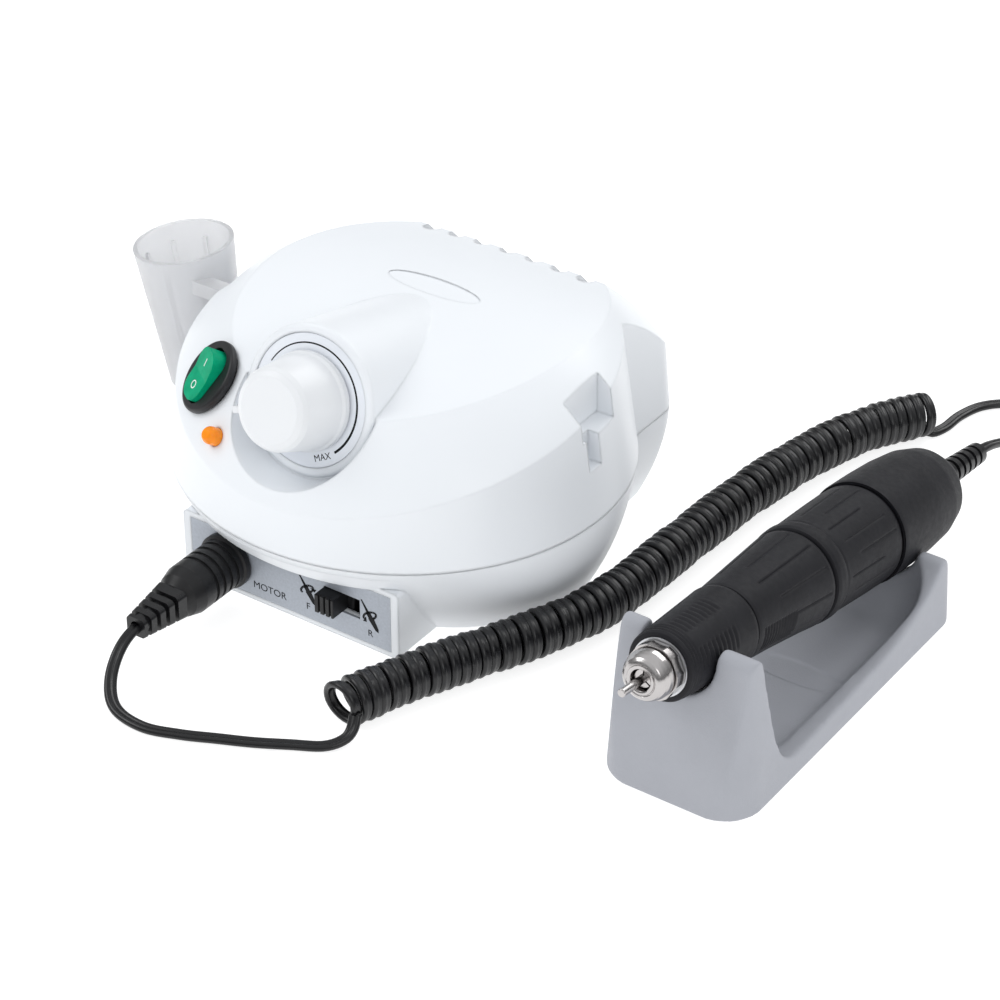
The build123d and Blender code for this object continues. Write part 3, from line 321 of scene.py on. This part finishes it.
def twin_section(lobe, gap, steps):
    """Figure-of-eight section of a flat twin cord."""
    points = []
    waist = math.acos(min(1.0, gap / lobe))
    for side, turn in ((1, 0), (-1, math.pi)):
        for i in range(steps + 1):
            a = turn - (math.pi - waist) + 2 * (math.pi - waist) * i / steps
            points.append(((side * gap + lobe * math.cos(a)) * MM, lobe * math.sin(a) * MM))
    return points


# ---------------------------------------------------------------- cradle

STAND_VOXEL = 0.42
STAND_SMOOTHING = 34
OVAL_X, OVAL_Y = 132.5, 1.0
OVAL_ZONE = (18.0, 7.5)
OVAL_WEIGHT = 0.10


def baked(obj):
    """The object's mesh with its modifiers applied."""
    bpy.context.view_layer.update()
    mesh = bpy.data.meshes.new_from_object(obj.evaluated_get(bpy.context.evaluated_depsgraph_get()))
    obj.modifiers.clear()
    return mesh


def soft_stand():
    """The cradle with every edge softened, the oval recess kept crisp."""
    source = NODES["cradle"]
    mesh = source.data.copy()
    mesh.transform(source.matrix_world)
    obj = bpy.data.objects.new("cradle_soft", mesh)
    bpy.context.scene.collection.objects.link(obj)
    remesh = obj.modifiers.new("even", "REMESH")
    remesh.mode = "VOXEL"
    remesh.voxel_size = STAND_VOXEL * MM
    obj.data = baked(obj)
    group = obj.vertex_groups.new(name="soft")
    middle = at(OVAL_X, OVAL_Y, 0)
    crisp, rest = [], []
    for v in obj.data.vertices:
        off = (v.co - middle) / MM
        inside = (off.x / OVAL_ZONE[0]) ** 2 + (off.y / OVAL_ZONE[1]) ** 2 < 1.0
        (crisp if inside else rest).append(v.index)
    group.add(crisp, OVAL_WEIGHT, "REPLACE")
    group.add(rest, 1.0, "REPLACE")
    smooth = obj.modifiers.new("soften", "SMOOTH")
    smooth.factor = 0.5
    smooth.iterations = STAND_SMOOTHING
    smooth.vertex_group = "soft"
    mesh = baked(obj)
    bpy.data.objects.remove(obj)
    mesh.materials.clear()
    mesh.shade_smooth()
    new_piece("cradle_soft", mesh, STAND, "control_unit", "stand_grey", "cradle")


soft_stand()


# ---------------------------------------------------------------- cord

CORD_LOBE = 1.0
CORD_GAP = 0.82
LEAD_SECTION = twin_section(CORD_LOBE, CORD_GAP, 12)
COIL_LOBE = 0.98
COIL_GAP = 0.74
COIL_LEAN = math.radians(13)
COIL_OUTER = 7.0
COIL_PITCH = 3.24
COIL_LOOSE_PITCH = 6.2
COIL_LOOSE_LENGTH = 8.5
COIL_YAW = math.radians(26)
COIL_LAST = 0.75
COIL_FULLNESS = 0.985
COIL_WOBBLE = 0.30
COIL_HEIGHT = 7.1
COIL_TURN_STEPS = 28
COIL_PATH = (
    (40.6, -86.6), (51.0, -60.0), (66.0, -28.0), (73.5, -4.0), (75.5, 30.0), (77.5, 65.0), (82.0, 95.0),
    (89.0, 118.0), (100.0, 137.0),
)


def leaning(section, angle):
    """A section turned about the wire's own axis."""
    c, s = math.cos(angle), math.sin(angle)
    return [(a * c - b * s, a * s + b * c) for a, b in section]


def coil_piece():
    """The wound cord: a flat twin wire in a helix about the coil's centreline, looser at its front end."""
    centre = smooth_path([at(x, y, COIL_HEIGHT) for x, y in COIL_PATH], 0.5 * MM)
    lengths = [0.0]
    for a, b in zip(centre, centre[1:]):
        lengths.append(lengths[-1] + (b - a).length)
    total = lengths[-1]
    radius = (COIL_OUTER - COIL_LOBE) * MM
    path, sides, i = [], [], 0
    along, angle, last = 0.0, 0.0, round(COIL_LAST * COIL_TURN_STEPS)
    while along < total or len(path) % COIL_TURN_STEPS != last + 1:
        while i < len(lengths) - 2 and lengths[i + 1] < along:
            i += 1
        share = (along - lengths[i]) / (lengths[i + 1] - lengths[i])
        middle = centre[i].lerp(centre[i + 1], share)
        tangent = (centre[i + 1] - centre[i]).normalized()
        right = tangent.cross(Vector((0, 0, 1))).normalized()
        place = along / MM
        uneven = 0.035 * math.sin(place * 0.23) + 0.02 * math.sin(place * 0.61 + 1.3)
        slack = min(1.0, COIL_FULLNESS + uneven)
        loose = max(0.0, 1 - place / COIL_LOOSE_LENGTH)
        right = Matrix.Rotation(COIL_YAW * loose, 3, "Z") @ right
        radial = right * math.cos(angle) + Vector((0, 0, 1)) * math.sin(angle)
        wobble = COIL_WOBBLE * MM * math.sin(place * 0.9)
        path.append(middle + radial * radius * slack + tangent * wobble)
        sides.append(tangent)
        angle += TAU / COIL_TURN_STEPS
        along += (COIL_PITCH + (COIL_LOOSE_PITCH - COIL_PITCH) * loose) * MM / COIL_TURN_STEPS
    section = leaning(twin_section(COIL_LOBE, COIL_GAP, 8), COIL_LEAN)
    mesh = sweep("coil_wire", path, sides, section)
    mesh.shade_smooth()
    new_piece("coil_wire", mesh, CORD, "control_unit", "rubber", "cord_coil")
    return path


coil_path = coil_piece()


def lead_piece(name, points, node_name):
    path = smooth_path(points, 1.2 * MM)
    sides = []
    for i, p in enumerate(path):
        tangent = (path[min(i + 1, len(path) - 1)] - path[max(i - 1, 0)]).normalized()
        flat = tangent.cross(Vector((0, 0, 1)))
        sides.append(flat.normalized())
    mesh = sweep(name, path, sides, LEAD_SECTION)
    mesh.shade_smooth()
    obj = new_piece(name, mesh, CORD, None, "rubber", node_name)
    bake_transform(obj)


SOCKET_X, SOCKET_Z = -22.0, 13.2
LEAD_REST = 1.15
plug_points = [
    at(SOCKET_X, -80.0, SOCKET_Z), at(SOCKET_X, -95.0, SOCKET_Z), at(SOCKET_X + 0.8, -104.0, 10.8),
    at(SOCKET_X + 3.4, -111.5, 5.6), at(-12.5, -116.8, LEAD_REST + 0.9), at(-2.0, -118.0, LEAD_REST),
    at(8.5, -114.8, LEAD_REST), at(17.8, -110.5, LEAD_REST), at(27.0, -106.2, LEAD_REST),
    at(35.7, -101.3, LEAD_REST), at(43.4, -96.8, LEAD_REST), at(46.9, -92.6, LEAD_REST + 0.9),
    at(47.6, -89.4, LEAD_REST + 2.6), coil_path[0],
]
lead_piece("plug_cord", plug_points, "plug_lead")

BOOT_START, BOOT_END = 166.0, 184.0
HAND_LEAD_TURN = at(129.4, 129.0, 11.2)
hand_points = [HAND @ Vector((0, 0, s * MM)) for s in (BOOT_START, BOOT_END - 2, BOOT_END + 6)]
hand_points += [
    HAND_LEAD_TURN, at(132.0, 145.0, 5.4), at(132.6, 158.0, LEAD_REST + 0.8),
    at(126.0, 166.5, LEAD_REST), at(118.0, 167.0, LEAD_REST), at(112.0, 163.7, LEAD_REST),
    at(107.4, 158.0, LEAD_REST), at(105.0, 149.9, LEAD_REST), at(104.4, 141.5, LEAD_REST),
    at(102.6, 136.4, LEAD_REST), coil_path[-1],
]
lead_piece("handpiece_cord", hand_points, "handpiece_lead")


# ---------------------------------------------------------------- handpiece covers

def window(value, low, high, soft):
    """1 between low and high, falling to 0 over soft."""
    return max(0.0, min(1.0, (value - low) / soft, (high - value) / soft))


def angle_from(theta, middle):
    return (theta - middle + math.pi) % TAU - math.pi


def grip_relief(s, theta):
    """Nine short ribs in six groups, with full rings next to the nose."""
    group = max(0.0, min(1.0, 2.2 * math.cos(6 * angle_from(theta, math.radians(-24))) + 0.55))
    rib = 0.5 - 0.5 * math.cos(TAU * (s - 8.0) / 1.9)
    rings = window(s, 4.6, 8.0, 0.5) * (0.5 - 0.5 * math.cos(TAU * (s - 4.6) / 1.15))
    return -0.42 * rib ** 2 * group * window(s, 8.0, 26.0, 1.0) - 0.25 * rings


def twist_relief(s, theta):
    """Long grooves and shallow flutes, and a thumb pad with short cross ribs."""
    long_groove = 0.0
    for k in range(12):
        off = abs(angle_from(theta, math.radians(-37 + 30 * k))) * 12.5
        start = 43.0 if k % 2 else 47.0
        long_groove = max(long_groove, window(s, start, 69.5, 0.8) * max(0.0, 1 - off / 0.55))
    flute = max(0.0, math.cos(3 * angle_from(theta, math.radians(-82)))) ** 3
    pad_off = abs(angle_from(theta, math.radians(8)))
    pad = window(s, 37.5, 53.0, 0.6) * window(-pad_off, -0.34, 1.0, 0.03)
    rib = 0.5 - 0.5 * math.cos(TAU * (s - 37.5) / 1.3)
    return -0.38 * long_groove * (1 - pad) - 0.22 * flute * window(s, 41, 69, 6) - pad * 0.55 * rib


def motor_relief(s, theta):
    """Fine lengthwise lines behind a plain front collar."""
    line = 0.0
    for k in range(18):
        off = abs(angle_from(theta, math.radians(-50 + 20 * k))) * 14.8
        low, high = ((82.0, 104.0), (86.0, 106.0), (80.0, 98.0))[k % 3]
        line = max(line, window(s, low, high, 0.6) * max(0.0, 1 - off / 0.42))
    collar = window(s, 77.2, 78.4, 0.35)
    return -0.30 * line - 0.28 * collar


# (radius, distance behind the nose) of each cover's outer surface, in millimetres
GRIP_OUTER = [(9.0, 3.6), (9.55, 3.75), (9.9, 4.4), (10.1, 6.0), (11.4, 30.0), (11.6, 33.2), (11.45, 34.3),
              (11.0, 34.8)]
TWIST_OUTER = [(10.6, 35.3), (11.05, 35.5), (11.3, 36.4), (13.95, 67.5), (14.15, 69.8), (14.0, 71.0),
               (13.5, 71.6)]
MOTOR_OUTER = [(13.5, 72.4), (14.25, 72.7), (14.6, 73.8), (14.7, 76.0), (14.35, 79.0), (14.9, 96.0),
               (15.05, 104.0), (14.9, 107.8), (14.3, 108.6), (13.9, 110.6)]
CAP_OUTER = [(15.0, 109.4), (15.45, 109.2), (15.62, 110.0), (15.62, 121.0), (15.35, 132.0), (14.5, 142.0),
             (12.7, 149.2), (10.0, 153.8), (7.2, 156.2), (4.6, 157.0)]


def cover(name, outer, inner, relief, around, step, body, *nodes):
    mesh = lathe(name, HAND, outer, inner, relief, around, step)
    obj = new_piece(name, mesh, GRIP, body, "charcoal", *nodes)
    smooth_shaded(obj, 40)
    return obj


cover("grip_cover", GRIP_OUTER, [(8.25, 3.6), (8.25, 34.8)], grip_relief, 180, 0.32,
      "handpiece", "front_grip")
cover("twist_cover", TWIST_OUTER, [(9.35, 35.3), (9.35, 71.6)], twist_relief, 300, 0.26,
      "twist", "twist_sleeve")
cover("motor_cover", MOTOR_OUTER, [(9.4, 72.4), (9.4, 76.8), (11.75, 76.8), (11.75, 110.6)],
      motor_relief, 360, 0.5, "handpiece", "motor_sleeve")
CAP_INNER = [(14.55, 109.4), (14.55, 112.0), (11.75, 113.0), (11.75, 127.0), (13.5, 128.0), (13.2, 134.0),
             (12.4, 142.0), (10.8, 148.0), (8.6, 152.0), (4.6, 155.0)]
cover("cap_cover", CAP_OUTER, CAP_INNER, None, 120, 1.2, "handpiece", "rear_cap")

NOSE_OUTER = [(3.05, -5.9), (3.5, -6.12), (4.0, -6.05), (4.15, -5.75), (4.35, -5.75), (4.55, -5.95),
              (5.1, -5.75), (5.9, -5.1), (6.5, -4.0), (6.9, -2.6), (7.05, -1.2), (7.05, -0.85),
              (6.5, -0.75)]
NOSE_INNER = [(3.05, -3.8), (5.5, -2.2), (5.5, 3.5), (6.3, 3.5)]
nose_mesh = lathe("nose_dome", HAND, NOSE_OUTER, NOSE_INNER, None, 96, 0.3)
nose = new_piece("nose_dome", nose_mesh, STEEL, "handpiece", "steel", "nose_cap")
smooth_shaded(nose, 50)


# ---------------------------------------------------------------- printed marks

def flat_mesh(name, outlines, place, lift):
    """Thin printed shapes: each outline is a list of (x, y) millimetres on the local plane."""
    bm = bmesh.new()
    for outline in outlines:
        lower = [bm.verts.new(place @ (Vector((x, y, lift)) * MM)) for x, y in outline]
        face = bm.faces.new(lower)
        raised = bmesh.ops.extrude_face_region(bm, geom=[face])
        normal = (place.to_3x3() @ Vector((0, 0, 1))).normalized()
        for v in [g for g in raised["geom"] if isinstance(g, bmesh.types.BMVert)]:
            v.co += normal * 0.03 * MM
    bmesh.ops.recalc_face_normals(bm, faces=bm.faces)
    mesh = bpy.data.meshes.new(name)
    bm.to_mesh(mesh)
    bm.free()
    return mesh


def ink(name, outlines, place, lift, look, body, slot_name):
    return new_piece(name, flat_mesh(name, outlines, place, lift), look, body, slot_name)


def lettering(name, text, size, place, x, y, lift, look, body, slot_name):
    curve = bpy.data.curves.new(name, "FONT")
    curve.body = text
    curve.size = size * MM
    curve.extrude = 0.015 * MM
    curve.align_x = "CENTER"
    curve.align_y = "CENTER"
    temp = bpy.data.objects.new(name + "_text", curve)
    bpy.context.scene.collection.objects.link(temp)
    bpy.context.view_layer.update()
    mesh = bpy.data.meshes.new_from_object(temp.evaluated_get(bpy.context.evaluated_depsgraph_get()))
    bpy.data.objects.remove(temp)
    mesh.transform(place @ Matrix.Translation(Vector((x, y, lift)) * MM))
    mesh.materials.clear()
    return new_piece(name, mesh, look, body, slot_name)


RING_TOP = -0.2
ARC_RADIUS = 16.2
ARC_START = 154.0
ARC_SWEEP = 201.0
ARC_STEPS = 80
MAX_TURN = 27.0


def arc_outline():
    """Scale line that grows wider towards the stop."""
    outer, inner = [], []
    for i in range(ARC_STEPS + 1):
        share = i / ARC_STEPS
        a = math.radians(ARC_START - ARC_SWEEP * share)
        half = 0.16 + 0.20 * share
        outer.append(((ARC_RADIUS + half) * math.cos(a), (ARC_RADIUS + half) * math.sin(a)))
        inner.append(((ARC_RADIUS - half) * math.cos(a), (ARC_RADIUS - half) * math.sin(a)))
    return outer, inner


outer_arc, inner_arc = arc_outline()
quads = [[outer_arc[i], outer_arc[i + 1], inner_arc[i + 1], inner_arc[i]] for i in range(ARC_STEPS)]
ink("scale_line", quads, KNOB, RING_TOP + 0.01, INK, "control_unit", "black_plastic")
lettering("scale_max", "MAX", 2.7, KNOB @ Matrix.Rotation(math.radians(MAX_TURN), 4, "Z"), 0.0, -ARC_RADIUS,
          RING_TOP + 0.02, INK, "control_unit", "black_plastic")

lettering("socket_label", "MOTOR", 3.3, PANEL, -7.4, 7.75, 0.02, INK, "control_unit", "black_plastic")
lettering("forward_label", "F", 3.1, PANEL, 6.4, 7.85, 0.02, INK, "control_unit", "black_plastic")
lettering("reverse_label", "R", 3.1, PANEL, 28.3, 7.4, 0.02, INK, "control_unit", "black_plastic")


ICON_SLANT = -58
ICON_DASHES = 14
ICON_OUTER = (1.45, 2.9)
ICON_INNER = (0.75, 2.1)


def bur_icon(name, x, y, turn):
    """A slim tool shown at a slant, with a bent arrow round it for the turning direction."""
    slant = Matrix.Rotation(math.radians(ICON_SLANT), 2)

    def put(points):
        return [tuple(Vector((x, y)) + slant @ Vector(p)) for p in points]

    shapes = [put([(-5.4, -0.22), (-1.0, -0.50), (-1.0, 0.50), (-5.4, 0.22)]),
              put([(-1.0, -0.8), (0.6, -0.8), (0.6, 0.8), (-1.0, 0.8)]),
              put([(0.6, -1.05), (4.6, -0.65), (5.6, 0.0), (4.6, 0.65), (0.6, 1.05)])]
    for i in range(ICON_DASHES):
        a0, a1 = math.radians(20 * i + 20), math.radians(20 * i + 38)
        ring = [(ICON_OUTER[0] * math.cos(a), ICON_OUTER[1] * math.sin(a)) for a in (a0, a1)]
        ring += [(ICON_INNER[0] * math.cos(a), ICON_INNER[1] * math.sin(a)) for a in (a1, a0)]
        shapes.append(put(ring))
    shapes.append(put([(-0.2, turn * 1.4), (1.5, turn * 2.2), (0.9, turn * 3.4)]))
    ink(name, shapes, PANEL, 0.01, INK, "control_unit", "black_plastic")


bur_icon("forward_icon", 6.2, 13.7, 1)
bur_icon("reverse_icon", 28.2, 13.4, -1)

ROCKER_TILT = 9.0
ROCKER_FACE_SLOPE = 5.1
ROCKER_FACE = 3.22
ROCKER_MARK_Y = 4.0
for name, mark, end in (("rocker_on", "I", 1), ("rocker_off", "O", -1)):
    slant = math.radians(ROCKER_TILT + end * ROCKER_FACE_SLOPE)
    tilted = SWITCH @ Matrix.Rotation(slant, 4, "X")
    lettering(name, mark, 3.6, tilted, 0.0, end * ROCKER_MARK_Y, ROCKER_FACE, WHITE_INK,
              "rocker", "green_lens")


# ---------------------------------------------------------------- stage, light, camera

FLOOR_GLOW = 0.80
FLOOR_DROP = 0.05
AMBIENT_LIGHT = 0.84
HORIZON_LIGHT = 0.12
CEILING_LIGHT = 0.85
SKY_TINT = (0.97, 0.985, 1.0, 1)


def floor_material():
    """White paper lit from behind, so that only faint shadows show on it."""
    mat = bpy.data.materials.new("floor_white")
    mat.use_nodes = True
    tree = mat.node_tree
    bsdf = tree.nodes["Principled BSDF"]
    coords = tree.nodes.new("ShaderNodeTexCoord").outputs["Object"]
    tone = spread(tree, noise(tree, coords, 8), 0.44, 0.46)
    tree.links.new(tone, bsdf.inputs["Base Color"])
    bsdf.inputs["Roughness"].default_value = 0.9
    bsdf.inputs["Specular IOR Level"].default_value = 0.0
    bsdf.inputs["Emission Color"].default_value = (1, 1, 1, 1)
    bsdf.inputs["Emission Strength"].default_value = FLOOR_GLOW
    return mat


def floor():
    mesh = bpy.data.meshes.new("floor")
    bm = bmesh.new()
    bmesh.ops.create_grid(bm, x_segments=8, y_segments=8, size=6)
    bm.to_mesh(mesh)
    bm.free()
    obj = bpy.data.objects.new("floor", mesh)
    obj.location.z = -FLOOR_DROP * MM
    bpy.context.scene.collection.objects.link(obj)
    mesh.materials.append(floor_material())


def area_light(name, place, aim, width, height, power):
    light = bpy.data.lights.new(name, "AREA")
    light.shape = "RECTANGLE"
    light.size = width
    light.size_y = height
    light.energy = power
    obj = bpy.data.objects.new(name, light)
    obj.location = place
    obj.rotation_euler = (Vector(aim) - Vector(place)).to_track_quat("-Z", "Y").to_euler()
    bpy.context.scene.collection.objects.link(obj)


def studio_world():
    """Even white surroundings; reflections see a dark horizon and a bright ceiling."""
    world = bpy.data.worlds.new("studio")
    world.use_nodes = True
    tree = world.node_tree
    background = tree.nodes["Background"]
    coords = tree.nodes.new("ShaderNodeTexCoord").outputs["Generated"]
    parts = tree.nodes.new("ShaderNodeSeparateXYZ")
    tree.links.new(coords, parts.inputs["Vector"])
    height = tree.nodes.new("ShaderNodeMapRange")
    height.inputs["From Min"].default_value = 0.05
    height.inputs["From Max"].default_value = 0.85
    height.inputs["To Min"].default_value = HORIZON_LIGHT
    height.inputs["To Max"].default_value = CEILING_LIGHT
    tree.links.new(parts.outputs["Z"], height.inputs["Value"])
    rays = tree.nodes.new("ShaderNodeLightPath")
    choose = tree.nodes.new("ShaderNodeMix")
    choose.inputs["A"].default_value = AMBIENT_LIGHT
    tree.links.new(rays.outputs["Is Glossy Ray"], choose.inputs["Factor"])
    tree.links.new(height.outputs["Result"], choose.inputs["B"])
    tree.links.new(choose.outputs["Result"], background.inputs["Strength"])
    background.inputs["Color"].default_value = SKY_TINT
    return world


floor()
area_light("key", (-0.9, -0.5, 1.1), (0, 0, 0.03), 0.7, 0.7, 5.4)
area_light("fill", (1.0, -0.6, 0.8), (0, 0, 0.03), 0.6, 0.5, 2.0)
area_light("back", (0.1, 1.0, 0.9), (0, 0, 0.05), 1.0, 0.35, 4.0)

scene = bpy.context.scene
scene.world = studio_world()
scene.view_settings.view_transform = "Standard"

CAMERA_PLACE = at(471.56, -629.02, 532.98)
CAMERA_AIM = at(13.08, 30.26, 0)
camera = bpy.data.cameras.new("camera")
camera.sensor_width = 36
camera.lens = 115.2
camera.clip_start = 0.01
camera_obj = bpy.data.objects.new("camera", camera)
camera_obj.location = CAMERA_PLACE
camera_obj.rotation_euler = (CAMERA_AIM - CAMERA_PLACE).to_track_quat("-Z", "Y").to_euler()
bpy.context.scene.collection.objects.link(camera_obj)
scene.camera = camera_obj
